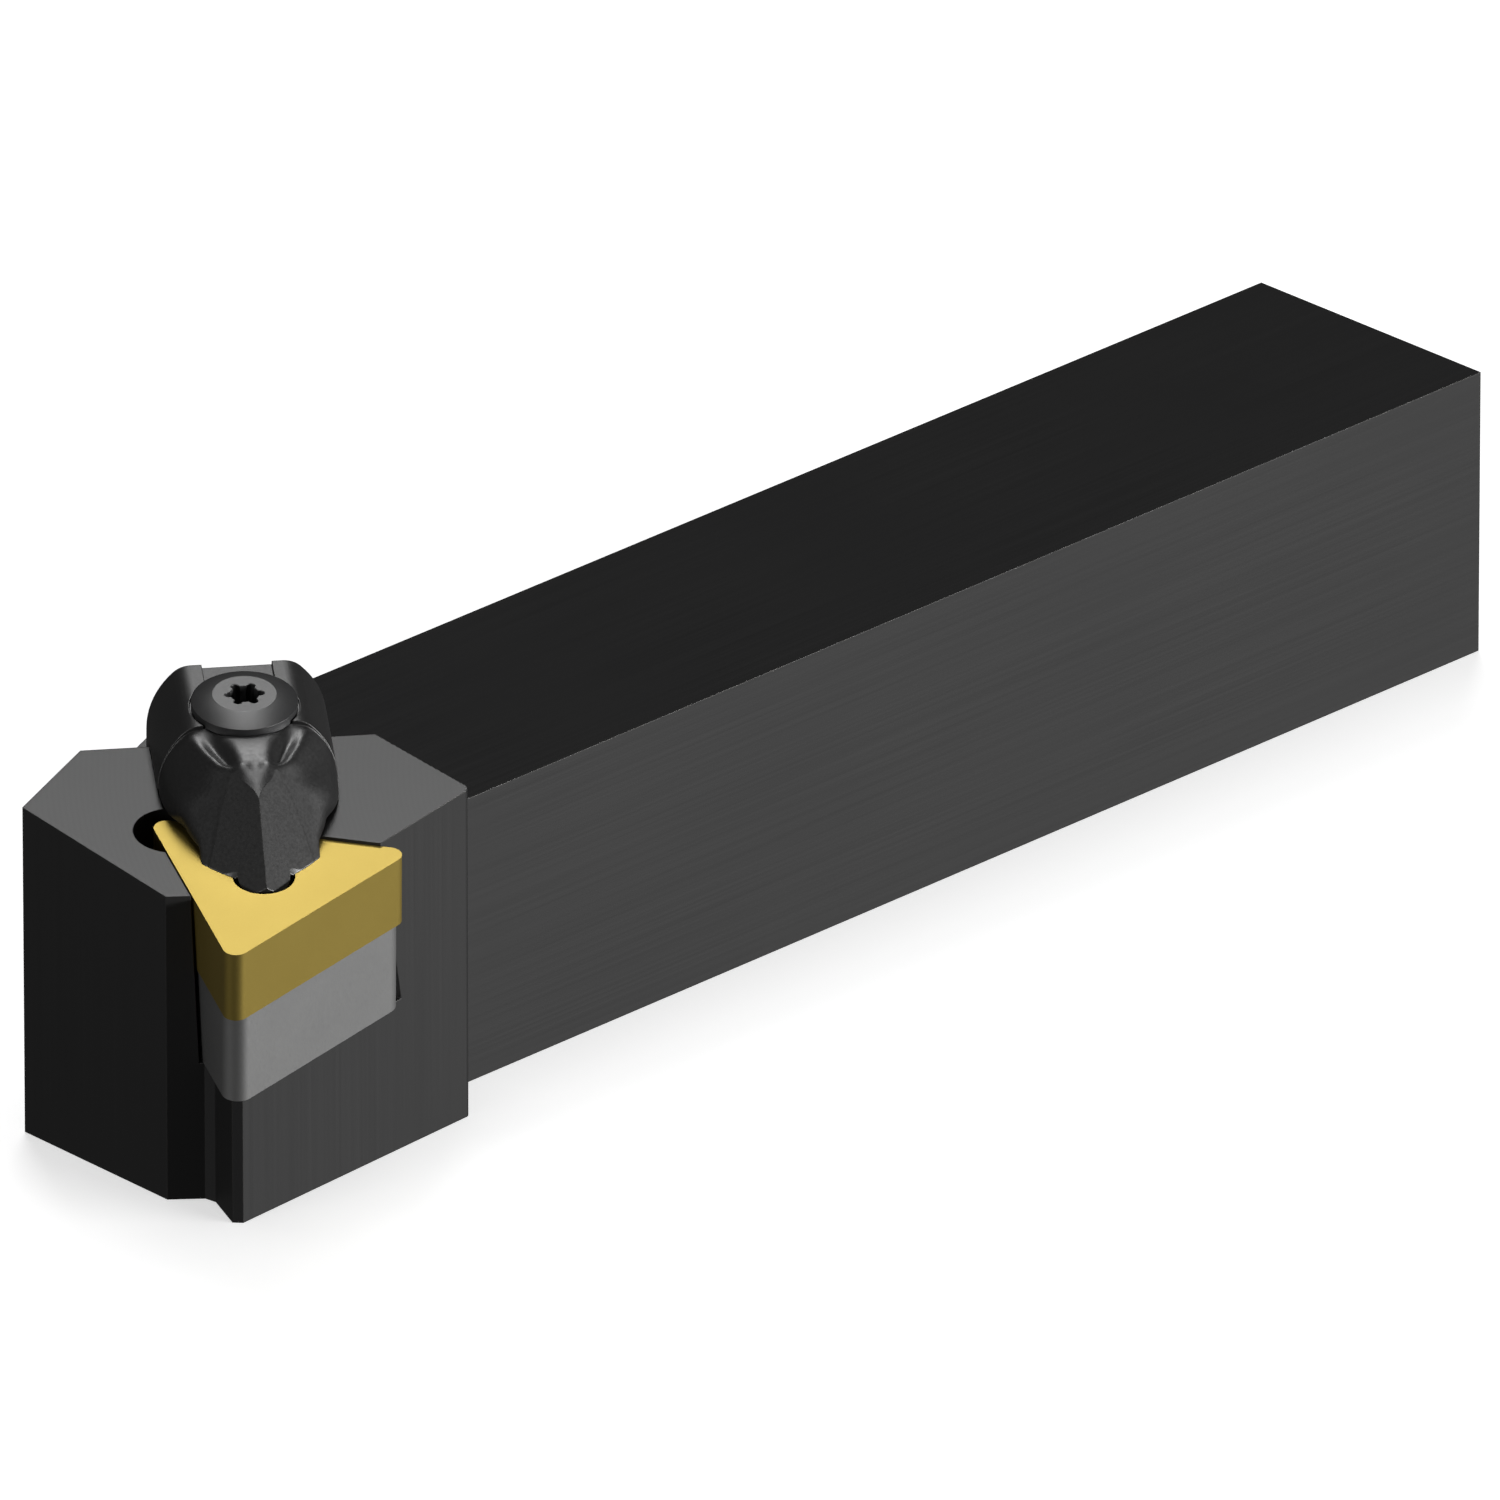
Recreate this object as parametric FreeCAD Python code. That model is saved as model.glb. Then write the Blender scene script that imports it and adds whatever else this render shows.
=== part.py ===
import FreeCAD, Part
import math
import os

from FreeCAD import Vector

# External turning tool holder, right hand, for a triangular negative insert.
# The tool lies with its shank along X, the nose at the +X end, the cutting
# side at +Y and the cutting edges up. It is drawn from the rear lower corner
# of the shank, on the side away from the cut, and then moved so that the
# origin is in the middle of the underside of the shank. Millimetres.

# Whole tool
overall_length = 114.3
shank_width = 19.05
shank_height = 19.05
nose_offset = 25.4
cutting_height = 19.05

# How far a cut runs on past the face that it opens
overrun = 1.0

# Attitude of the seat: side lead and the two negative rake angles
lead_angle = 3.0
edge_inclination = 6.0
side_rake = 6.0

# Insert and shim
insert_circle = 9.525
insert_thickness = 4.7625
insert_corner_radius = 0.794
insert_bore = 3.81
shim_thickness = 6.1
shim_inset = 0.08
shim_corner_radius = 1.0
shim_bore = 4.4
shim_head_clearance = 0.1
half_corner_angle = 30.0

# Head of the holder. Distances from the nose are measured back (along -X)
# and across (along -Y).
head_length = 22.8
head_top_above_insert = 0.22
front_back = 1.9
front_slant = 2.4
flank_start = 5.0
flank_angle = 16.1
gullet_edge_across = 7.44
gullet_root_back = 3.08
gullet_root_across = 5.91
gullet_web = 0.79
gullet_web_lean = 0.13
support_nose_back = 1.89
support_nose_across = 2.35
support_chamfer_back = 0.44
support_chamfer_across = 0.5
rear_edge_radius = 0.5

# Pocket for the insert and shim
pocket_clearance = 0.2
corner_relief_radius = 2.42
corner_relief_inward = 2.28
corner_relief_shift = -0.2
corner_relief_extra_depth = 0.4

# Clamp. Its axis points to the insert bore. Distances along the axis are
# measured back from the bore, heights from the top of the insert.
clamp_direction = 131.8
screw_back = 11.42
step_back = 14.55
ledge_below_insert = 3.22
tail_clearance = 0.12
clamp_rear_back = 16.12
clamp_underside = 0.55
nose_pad_start_back = 1.8
relief_full_back = 2.8
nose_body_end = 0.06

# Rear of the clamp with the two ears beside the screw
ear_front_back = 9.4
ear_base_half = 5.5
ear_centre_height = 0.6
ear_top_height = 4.93
ear_crest_round = 1.5
slot_floor_height = 4.68
slot_width = 4.28

# Outline of the clamp in plan
waist_start_back = 10.1
waist_radius = 11.44
waist_angle = 19.0
nose_half = 3.68

# Two cheeks of the clamp and the crown between them
crease_step = 0.06
crease_overlap = 0.4
cheek_top_inset = 1.85
cheek_top_height = 4.44
cheek_spread_power = 0.78
cheek_top_slope = 28.0
cheek_top_drop = 2.0
cheek_low_slope = 46.0
cheek_low_drop = 1.17
cheek_low_back = 5.26
cheek_low_half = 1.68
cheek_low_height = 4.29
cheek_tip_back = 1.32
cheek_tip_half = 3.23
cheek_tip_height = 0.0
smallest_cheek_round = 0.35
cheek_handle = 0.52
cheek_side_handle = 0.42
cheek_side_overlap = 0.4
cheek_steps = 4
valley_top_half = 2.95
valley_low_half = 1.38
valley_depth = 0.24
valley_rise = 0.07
valley_top_rise = 0.2
hollow_half_share = 0.68
hollow_fall_share = 0.3
tip_valley_share = 0.8
tip_valley_fall = 0.2
tip_valley_rise = 0.15
tip_hollow_share = 0.5
tip_hollow_rise = 0.3
front_stations = 16
front_thickness = 8.0
crown_height = 4.9
crown_top_back = 7.36
crown_radius = 9.2

# Two flats at the front that meet in a sharp prow
prow_ahead = 1.88
flat_forward = 0.529
flat_sideways = 0.518
flat_upward = 0.672

# Pin under the front of the clamp, in the bore of the insert
nose_pin_diameter = 3.2
nose_pin_depth = 2.0

# Clamp screw
screw_diameter = 4.0
screw_head_diameter = 6.5
screw_head_band = 0.58
screw_face_diameter = 3.9
screw_head_dome = 0.5
screw_dome_bulge = 0.1
screw_length = 19.0
screw_bore_clearance = 0.2
screw_head_clearance = 0.12
thread_play = 0.05
drive_size = 2.4
drive_depth = 1.7
drive_lobe_radius = 0.264
drive_core_radius = 0.864
drive_point_depth = 0.48
drive_point_radius = 0.02
drive_turn = 30.0

# Retaining ring and spring on the clamp screw
spring_pocket_height = 2.9
ring_groove_diameter = 3.2
ring_thickness = 0.5
ring_diameter = 4.8
ring_play = 0.12
ring_opening = 2.7
spring_inner_diameter = 5.0
spring_wire = 0.5
spring_strip = 0.35
spring_turns = 3.5
spring_clearance = 0.2
thread_depth = 15.0

# Shim screw
shim_screw_diameter = 4.0
shim_screw_head = 6.0
shim_screw_length = 11.5
shim_screw_sink = 0.3
shim_thread_depth = 6.5

# What follows from those
cheek_top_half = ear_base_half - cheek_top_inset

small = 0.01
PARTS = "parts"


def tangent(degrees):
    return math.tan(math.radians(degrees))


def cosine(degrees):
    return math.cos(math.radians(degrees))


def sine(degrees):
    return math.sin(math.radians(degrees))


# Seat frame: X along the main cutting edge away from the nose, Y into the
# insert, Z square to the insert, origin in the middle of the insert's top.
def frame_from_axes(x_axis, y_axis, z_axis, origin):
    matrix = FreeCAD.Matrix(
        x_axis.x, y_axis.x, z_axis.x, origin.x,
        x_axis.y, y_axis.y, z_axis.y, origin.y,
        x_axis.z, y_axis.z, z_axis.z, origin.z,
        0, 0, 0, 1)
    return FreeCAD.Placement(matrix)


edge_length = insert_circle * math.sqrt(3)
centre_to_corner = insert_circle

edge_plan = Vector(-cosine(lead_angle), -sine(lead_angle), 0)
inward_plan = Vector(sine(lead_angle), -cosine(lead_angle), 0)
rise = edge_plan * tangent(edge_inclination) + inward_plan * tangent(side_rake)
seat_up = Vector(-rise.x, -rise.y, 1).normalize()
edge_axis = (edge_plan + Vector(0, 0, rise.dot(edge_plan))).normalize()
inward_axis = seat_up.cross(edge_axis)

# The nose arc touches the overall length and the nose offset.
to_nose = edge_axis * -cosine(half_corner_angle) + inward_axis * -sine(half_corner_angle)
arc_centre_x = overall_length - insert_corner_radius
arc_centre_y = nose_offset - insert_corner_radius
arc_to_sharp = insert_corner_radius / sine(half_corner_angle)
sharp_nose = Vector(arc_centre_x, arc_centre_y, 0) + to_nose * arc_to_sharp
sharp_nose.z = cutting_height
insert_centre = sharp_nose - to_nose * centre_to_corner

seat_frame = frame_from_axes(edge_axis, inward_axis, seat_up, insert_centre)
clamp_turn = FreeCAD.Placement(Vector(), FreeCAD.Rotation(Vector(0, 0, 1), -clamp_direction))
clamp_frame = seat_frame.multiply(clamp_turn)

shim_bottom = -(insert_thickness + shim_thickness)
pocket_floor = shim_bottom


def placed(shape, frame):
    moved = shape.copy()
    moved.Placement = frame.multiply(moved.Placement)
    return moved


def from_origin(shape):
    """Move a finished piece so that the middle of the shank's base is the origin."""
    shank_length = overall_length - head_length
    moved = shape.copy()
    moved.translate(Vector(-shank_length / 2, -shank_width / 2, 0))
    return moved


def prism(points, height):
    """Closed outline of straight sides, swept along a vector."""
    wire = Part.makePolygon(points + [points[0]])
    return Part.Face(wire).extrude(height)


def box(x0, x1, y0, y1, z0, z1):
    return Part.makeBox(x1 - x0, y1 - y0, z1 - z0, Vector(x0, y0, z0))


def upright(radius, height, x, y, z):
    return Part.makeCylinder(radius, height, Vector(x, y, z))


def cone(low_radius, high_radius, height, x, y, z):
    return Part.makeCone(low_radius, high_radius, height, Vector(x, y, z))


def is_upright(edge):
    direction = edge.tangentAt(edge.FirstParameter)
    return 1 - abs(direction.z) < small


def triangle_corners(grow, z):
    """Sharp corners of the insert triangle, moved out by grow on each side."""
    reach = centre_to_corner + 2 * grow
    corners = []
    for degrees in (210, 330, 90):
        corners.append(Vector(reach * cosine(degrees), reach * sine(degrees), z))
    return corners


def triangle_plate(grow, radius, z, thickness):
    plate = prism(triangle_corners(grow, z), Vector(0, 0, thickness))
    return plate.makeFillet(radius, [edge for edge in plate.Edges if is_upright(edge)])


def six_lobe(z):
    """Star-shaped socket for a driver, cut down from z."""
    floor = z - drive_depth
    radius = drive_lobe_radius
    reach = drive_size / 2 - radius
    socket = upright(drive_core_radius, drive_depth, 0, 0, floor)
    for index in range(6):
        turn = 60 * index + drive_turn
        lobe = upright(radius, drive_depth, reach * cosine(turn), reach * sine(turn), floor)
        arm = box(0, reach, -radius, radius, floor, z)
        arm.rotate(Vector(), Vector(0, 0, 1), turn)
        socket = socket.fuse(lobe).fuse(arm)
    point_low = floor - drive_point_depth
    point = cone(drive_point_radius, drive_core_radius, drive_point_depth, 0, 0, point_low)
    return socket.fuse(point).removeSplitter()


# Insert: a plain triangular plate with rounded corners and a bore.
def make_insert():
    plate = triangle_plate(0, insert_corner_radius, -insert_thickness, insert_thickness)
    bore_low = -insert_thickness - overrun
    bore = upright(insert_bore / 2, insert_thickness + 2 * overrun, 0, 0, bore_low)
    return placed(plate.cut(bore), seat_frame)


# Shim: carries the insert, with a countersunk hole for its own screw.
def make_shim():
    plate = triangle_plate(-shim_inset, shim_corner_radius, shim_bottom, shim_thickness)
    bore_low = shim_bottom - overrun
    bore = upright(shim_bore / 2, shim_thickness + 2 * overrun, 0, 0, bore_low)
    head_radius = shim_screw_head / 2
    seat_depth = head_radius - shim_bore / 2
    seat_top = -insert_thickness - shim_screw_sink
    seat = cone(shim_bore / 2, head_radius, seat_depth, 0, 0, seat_top - seat_depth)
    rim = upright(head_radius + shim_head_clearance, shim_screw_sink + overrun, 0, 0, seat_top)
    return placed(plate.cut(bore).cut(seat).cut(rim), seat_frame)


# Shim screw: countersunk head just below the top of the shim.
def make_shim_screw():
    top = -insert_thickness - shim_screw_sink
    thread_radius = shim_screw_diameter / 2 - thread_play
    head_radius = shim_screw_head / 2
    head_height = head_radius - thread_radius
    head = cone(thread_radius, head_radius, head_height, 0, 0, top - head_height)
    shank = upright(thread_radius, shim_screw_length, 0, 0, top - shim_screw_length)
    screw = head.fuse(shank)
    return placed(screw.cut(six_lobe(top)).removeSplitter(), seat_frame)


# Holder: square shank and a deeper head in one piece of steel.
def head_outline():
    front_x = overall_length - front_back
    gullet_y = nose_offset - gullet_edge_across
    front_low = Vector(front_x, flank_start, 0)
    front_high = Vector(front_x + (gullet_y - flank_start) * tangent(front_slant), gullet_y, 0)
    root_x = overall_length - gullet_root_back
    root_y = nose_offset - gullet_root_across
    root = Vector(root_x, root_y, 0)
    web = Vector(root_x - gullet_web * gullet_web_lean, root_y + gullet_web, 0)
    tip = Vector(overall_length - support_nose_back, nose_offset - support_nose_across, 0)
    shoulder = tip + Vector(-support_chamfer_back, support_chamfer_across, 0)
    rear_x = overall_length - head_length
    rear_y = shoulder.y - (shoulder.x - rear_x) * tangent(lead_angle)
    flank_x = front_x - flank_start / tangent(flank_angle)
    return [
        Vector(rear_x, 0, 0),
        Vector(flank_x, 0, 0),
        front_low,
        front_high,
        root,
        web,
        tip,
        shoulder,
        Vector(rear_x, rear_y, 0),
    ]


def head_block():
    tall = cutting_height * 2
    block = prism(head_outline(), Vector(0, 0, tall))
    rear_x = overall_length - head_length
    corners = []
    for edge in block.Edges:
        middle = edge.CenterOfMass
        at_rear = abs(middle.x - rear_x) < small
        if is_upright(edge) and at_rear and middle.y > shank_width:
            corners.append(edge)
    block = block.makeFillet(rear_edge_radius, corners)
    wide = overall_length
    above = box(-wide, wide, -wide, wide, head_top_above_insert, wide)
    behind = box(-wide, -step_back, -wide, wide, -ledge_below_insert, wide)
    return block.cut(placed(above, seat_frame)).cut(placed(behind, clamp_frame))


def pocket_cutter():
    """Walls along two sides of the insert, open at the cutting edge and the nose."""
    nose, heel, inner = triangle_corners(0, pocket_floor)
    along_ac = (inner - nose).normalize()
    out_ac = Vector(-along_ac.y, along_ac.x, 0)
    along_bc = (heel - inner).normalize()
    corner = line_meet(nose + out_ac * pocket_clearance, along_ac, heel, along_bc)
    reach = edge_length + head_length
    ac_end = corner - along_ac * reach
    bc_end = corner + along_bc * reach
    open_side = Vector(0, -head_length, 0)
    outline = [corner, bc_end, bc_end + open_side, ac_end + open_side, ac_end]
    return prism(outline, Vector(0, 0, cutting_height))


def line_meet(point, direction, other_point, other_direction):
    """Point where two lines in one horizontal plane cross."""
    cross = direction.x * other_direction.y - direction.y * other_direction.x
    gap = other_point - point
    along = (gap.x * other_direction.y - gap.y * other_direction.x) / cross
    return point + direction * along


def corner_relief():
    inner = triangle_corners(0, 0)[2]
    bottom = pocket_floor - corner_relief_extra_depth
    centre_y = inner.y - corner_relief_inward
    return upright(corner_relief_radius, cutting_height, corner_relief_shift, centre_y, bottom)


def make_holder():
    shank = box(0, overall_length - head_length + overrun, 0, shank_width, 0, shank_height)
    holder = head_block().fuse(shank)
    holder = holder.cut(placed(pocket_cutter(), seat_frame))
    holder = holder.cut(placed(corner_relief(), seat_frame))
    shim_hole_low = pocket_floor - shim_thread_depth
    shim_hole = upright(shim_screw_diameter / 2, shim_thread_depth, 0, 0, shim_hole_low)
    holder = holder.cut(placed(shim_hole, seat_frame))
    bottom = head_top_above_insert - thread_depth
    clamp_hole = upright(screw_diameter / 2, thread_depth + overrun, -screw_back, 0, bottom)
    holder = holder.cut(placed(clamp_hole, clamp_frame))
    return holder.removeSplitter()


# Clamp: the outline in plan, as half the width at a distance back.
def half_width(back):
    turn_end = waist_start_back - waist_radius * sine(waist_angle)
    if back >= waist_start_back:
        return ear_base_half
    if back >= turn_end:
        run = waist_start_back - back
        return ear_base_half - waist_radius + math.sqrt(waist_radius ** 2 - run ** 2)
    end_half = ear_base_half - waist_radius * (1 - cosine(waist_angle))
    straight = end_half - (turn_end - back) * tangent(waist_angle)
    return max(straight, nose_half)


def crown_line(back):
    """Height of the middle ridge, a round arc seen from the side."""
    run = back - crown_top_back
    return crown_height - crown_radius + math.sqrt(crown_radius ** 2 - run ** 2)


def between(start, end, share):
    return start + (end - start) * share


def rear_share(back):
    """0 where the cheeks are lowest at the back of the flats, 1 at the ears."""
    return min(1, (back - cheek_low_back) / (ear_front_back - cheek_low_back))


def cheek_line(back):
    """Top line of a cheek as half width and height."""
    if back >= cheek_low_back:
        share = rear_share(back)
        half = between(cheek_low_half, cheek_top_half, share ** cheek_spread_power)
        return half, between(cheek_low_height, cheek_top_height, share)
    share = (cheek_low_back - back) / (cheek_low_back - cheek_tip_back)
    half = between(cheek_low_half, cheek_tip_half, share)
    height = between(cheek_low_height, cheek_tip_height, share)
    return min(half, half_width(back) - smallest_cheek_round), height


def hollow_points(back, half, height):
    """Points between the top of a cheek and the middle ridge."""
    ridge = crown_line(back)
    if back >= cheek_low_back:
        share = rear_share(back)
        valley_half = between(valley_low_half, valley_top_half, share)
        valley = height - valley_depth * sine(180 * share)
        valley += valley_rise * (1 - share) + valley_top_rise * share ** 2
        hollow_half = valley_half * hollow_half_share
        hollow = between(ridge, valley, hollow_fall_share)
    else:
        valley_half = half * tip_valley_share
        valley = between(height, ridge, tip_valley_fall) + tip_valley_rise
        hollow_half = half * tip_hollow_share
        hollow = between(height, ridge, tip_hollow_share) + tip_hollow_rise
    return [(valley_half, valley), (hollow_half, hollow), (0, ridge)]


def cheek_points(back, half, height):
    """Round of a cheek from its upright side to its top line, a cubic curve."""
    side = half_width(back)
    slope = cheek_low_slope
    drop_ratio = cheek_low_drop
    if back >= cheek_low_back:
        share = rear_share(back)
        side = between(side, ear_base_half - crease_step, share)
        slope = between(cheek_low_slope, cheek_top_slope, share ** 2)
        drop_ratio = between(cheek_low_drop, cheek_top_drop, share)
    width = side - half
    low = height - width * drop_ratio
    handle = width * cheek_handle
    near_top = (half + handle * cosine(slope), height - handle * sine(slope))
    near_side = (side, low + width * drop_ratio * cheek_side_handle)
    points = [(side, low - width * cheek_side_overlap)]
    for step in range(cheek_steps + 1):
        t = step / cheek_steps
        weights = [(1 - t) ** 3, 3 * t * (1 - t) ** 2, 3 * t * t * (1 - t), t ** 3]
        corners = [(side, low), near_side, near_top, (half, height)]
        across = sum(weight * corner[0] for weight, corner in zip(weights, corners))
        up = sum(weight * corner[1] for weight, corner in zip(weights, corners))
        points.append((across, up))
    return points


def front_section(back):
    """Points across the front of the clamp, from its right side to its left."""
    half, height = cheek_line(back)
    right = cheek_points(back, half, height) + hollow_points(back, half, height)
    left = [(-across, up) for across, up in reversed(right[:-1])]
    return [Vector(-back, across, up) for across, up in right + left]


def clamp_front():
    """Smooth skin through even stations along the axis, thickened downwards."""
    start_back = ear_front_back + crease_overlap
    length = start_back + nose_body_end
    grid = []
    for index in range(front_stations):
        back = start_back - length * index / (front_stations - 1)
        grid.append(front_section(back))
    skin = Part.BSplineSurface()
    skin.interpolate(grid)
    return skin.toShape().extrude(Vector(0, 0, -front_thickness))


def clamp_rear():
    """Ears: part of a round bar along the axis of the clamp, with a flat top."""
    length = clamp_rear_back - ear_front_back
    bar = Part.makeCylinder(
        ear_base_half, length, Vector(-clamp_rear_back, 0, ear_centre_height), Vector(1, 0, 0))
    wide = overall_length
    above = box(-wide, wide, -wide, wide, ear_top_height, wide)
    below = box(-wide, wide, -wide, wide, -wide, ear_centre_height)
    bar = bar.cut(above).cut(below)
    crests = []
    for edge in bar.Edges:
        middle = edge.CenterOfMass
        if abs(middle.z - ear_top_height) < small and abs(middle.y) > slot_width / 2:
            crests.append(edge)
    return bar.makeFillet(ear_crest_round, crests)


def clamp_foot():
    """Straight sides under the ears, and the tail that goes down the step."""
    ears = box(
        -clamp_rear_back, -ear_front_back,
        -ear_base_half, ear_base_half,
        clamp_underside, ear_centre_height)
    tail = box(
        -clamp_rear_back, -step_back - tail_clearance,
        -ear_base_half, ear_base_half,
        -ledge_below_insert, ear_centre_height)
    return ears.fuse(tail)


def space_below():
    """Everything under the clamp. Only its nose pads bear on the insert."""
    wide = overall_length
    outline = [
        Vector(-wide, -wide, -wide),
        Vector(wide, -wide, -wide),
        Vector(wide, -wide, 0),
        Vector(-nose_pad_start_back, -wide, 0),
        Vector(-relief_full_back, -wide, clamp_underside),
        Vector(-wide, -wide, clamp_underside),
    ]
    return prism(outline, Vector(0, 2 * wide, 0))


def flat_cutter(side):
    """Half space in front of one flat of the prow."""
    normal = Vector(flat_forward, side * flat_sideways, flat_upward).normalize()
    reach = overall_length
    block = Part.makeBox(reach, reach, reach, Vector(-reach / 2, -reach / 2, 0))
    block.Placement = FreeCAD.Placement(
        Vector(prow_ahead, 0, 0), FreeCAD.Rotation(Vector(0, 0, 1), normal))
    return block


def make_clamp():
    front = clamp_front().cut(space_below())
    pin_height = nose_pin_depth + cheek_low_height
    pin = upright(nose_pin_diameter / 2, pin_height, 0, 0, -nose_pin_depth)
    front = front.fuse(pin)
    front = front.cut(flat_cutter(1)).cut(flat_cutter(-1))
    clamp = front.fuse(clamp_rear()).fuse(clamp_foot())
    slot = box(
        -clamp_rear_back - overrun, -screw_back,
        -slot_width / 2, slot_width / 2,
        slot_floor_height, slot_floor_height + crown_height)
    seat_radius = screw_head_diameter / 2 + screw_head_clearance
    seat = upright(seat_radius, crown_height, -screw_back, 0, slot_floor_height)
    bore_height = slot_floor_height + overrun
    bore = upright(screw_diameter / 2 + screw_bore_clearance, bore_height, -screw_back, 0, 0)
    pocket_radius = spring_inner_diameter / 2 + spring_wire + spring_clearance
    pocket = upright(pocket_radius, spring_pocket_height, -screw_back, 0, 0)
    clamp = clamp.cut(slot).cut(seat).cut(bore).cut(pocket)
    return placed(clamp.removeSplitter(), clamp_frame)


# Clamp screw: low domed head with a flat face, six-lobe socket, groove.
def make_clamp_screw():
    base = slot_floor_height
    band_top = base + screw_head_band
    face = band_top + screw_head_dome
    rim_radius = screw_head_diameter / 2
    face_radius = screw_face_diameter / 2
    middle_radius = (rim_radius + face_radius) / 2 + screw_dome_bulge
    middle_height = (band_top + face) / 2 + screw_dome_bulge
    dome = Part.Arc(
        Vector(rim_radius, 0, band_top),
        Vector(middle_radius, 0, middle_height),
        Vector(face_radius, 0, face)).toShape()
    outline = Part.Wire([
        Part.makeLine(Vector(0, 0, base), Vector(rim_radius, 0, base)),
        Part.makeLine(Vector(rim_radius, 0, base), Vector(rim_radius, 0, band_top)),
        dome,
        Part.makeLine(Vector(face_radius, 0, face), Vector(0, 0, face)),
        Part.makeLine(Vector(0, 0, face), Vector(0, 0, base)),
    ])
    head = Part.Face(outline).revolve(Vector(), Vector(0, 0, 1), 360)
    shank_radius = screw_diameter / 2 - thread_play
    shank = upright(shank_radius, screw_length, 0, 0, base - screw_length)
    groove_low = spring_pocket_height - ring_play - ring_thickness
    groove = upright(screw_diameter, ring_thickness, 0, 0, groove_low)
    groove = groove.cut(upright(ring_groove_diameter / 2, ring_thickness, 0, 0, groove_low))
    screw = head.fuse(shank).cut(groove).cut(six_lobe(face))
    screw.translate(Vector(-screw_back, 0, 0))
    return placed(screw.removeSplitter(), clamp_frame)


# Retaining ring: an open ring snapped into the groove of the screw.
def make_retaining_ring():
    low = spring_pocket_height - ring_play - ring_thickness
    ring = upright(ring_diameter / 2, ring_thickness, 0, 0, low)
    ring = ring.cut(upright(ring_groove_diameter / 2, ring_thickness, 0, 0, low))
    mouth = box(0, ring_diameter, -ring_opening / 2, ring_opening / 2, low, low + ring_thickness)
    ring = ring.cut(mouth)
    ring.translate(Vector(-screw_back, 0, 0))
    return placed(ring, clamp_frame)


# Spring: flat wire coil that lifts the clamp as the screw is undone.
def make_clamp_spring():
    inner = spring_inner_diameter / 2
    outer = inner + spring_wire
    low = head_top_above_insert
    travel = spring_pocket_height - head_top_above_insert - spring_strip
    path = Part.makeHelix(travel / spring_turns, travel, inner)
    corners = [
        Vector(inner, 0, 0),
        Vector(outer, 0, 0),
        Vector(outer, 0, spring_strip),
        Vector(inner, 0, spring_strip),
        Vector(inner, 0, 0),
    ]
    section = Part.makePolygon(corners)
    coil = Part.Wire(path).makePipeShell([section], True, True)
    coil.translate(Vector(-screw_back, 0, low))
    return placed(coil, clamp_frame)


if __name__ == "__main__":
    os.makedirs(PARTS, exist_ok=True)
    sub_parts = {
        "holder": make_holder(),
        "shim": make_shim(),
        "shim_screw": make_shim_screw(),
        "insert": make_insert(),
        "clamp": make_clamp(),
        "clamp_screw": make_clamp_screw(),
        "retaining_ring": make_retaining_ring(),
        "clamp_spring": make_clamp_spring(),
    }
    for name, piece in sub_parts.items():
        shape = from_origin(piece)
        shape.exportStep(PARTS + "/" + name + ".step")
        print(name, len(shape.Solids), round(shape.Volume, 2), shape.isValid())
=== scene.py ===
# %% [markdown]
# # A turning tool holder
# The object is a square bar of blackened steel with a milled head. A gold coated
# triangular insert lies on a carbide shim in the head, and a small clamp with one
# screw holds it down. The shapes come from the imported model, in metres, with the
# origin under the middle of the shank, +X towards the nose and +Y towards the side
# that cuts. This lesson gives the model its camera, its light and its finishes, and
# adds the threads of the screws and a coiled spring.

# %% Load the imported model
import math

import bpy
from mathutils import Matrix, Vector


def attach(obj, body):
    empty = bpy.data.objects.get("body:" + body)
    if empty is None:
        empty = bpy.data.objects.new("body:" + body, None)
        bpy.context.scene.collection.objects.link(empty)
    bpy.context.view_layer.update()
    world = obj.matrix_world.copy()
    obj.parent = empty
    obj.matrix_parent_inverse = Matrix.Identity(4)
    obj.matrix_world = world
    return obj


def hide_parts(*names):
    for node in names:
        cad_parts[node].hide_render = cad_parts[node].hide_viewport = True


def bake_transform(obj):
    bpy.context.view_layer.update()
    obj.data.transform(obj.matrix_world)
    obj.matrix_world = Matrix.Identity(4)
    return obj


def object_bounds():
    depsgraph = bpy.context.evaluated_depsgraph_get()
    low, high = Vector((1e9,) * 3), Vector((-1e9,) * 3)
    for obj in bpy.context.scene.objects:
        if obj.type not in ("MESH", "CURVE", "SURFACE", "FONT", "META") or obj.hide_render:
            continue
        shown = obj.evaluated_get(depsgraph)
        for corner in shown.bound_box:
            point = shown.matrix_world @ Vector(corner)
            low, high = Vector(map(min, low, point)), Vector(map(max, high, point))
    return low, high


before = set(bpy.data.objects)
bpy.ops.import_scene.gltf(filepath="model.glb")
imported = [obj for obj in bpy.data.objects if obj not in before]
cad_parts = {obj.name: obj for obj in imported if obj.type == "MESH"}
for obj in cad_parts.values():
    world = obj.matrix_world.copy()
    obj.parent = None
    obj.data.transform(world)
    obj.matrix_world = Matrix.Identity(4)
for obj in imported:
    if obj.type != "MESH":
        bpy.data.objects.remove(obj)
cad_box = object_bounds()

print("pieces:", ", ".join(sorted(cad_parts)))
print("size in mm:", [round(1000 * (high - low), 2) for low, high in zip(*cad_box)])

# %% [markdown]
# ## The camera
# The photograph was taken from the nose end, 45 degrees round and 25 degrees up,
# from far away, so lines that are parallel on the tool stay nearly parallel in the
# picture. A long lens at a long distance does that. A short lens close by would
# make the nose look too large. The camera aims at the point that the middle of the
# picture shows.

# %% The camera
picture_middle = Vector((0.01106, 0.00222, 0.0095))
camera_azimuth = math.radians(135.0)
camera_elevation = math.radians(25.0)
camera_distance = 2.6797
lens_length = 1047.3
sensor_width = 36.0

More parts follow.
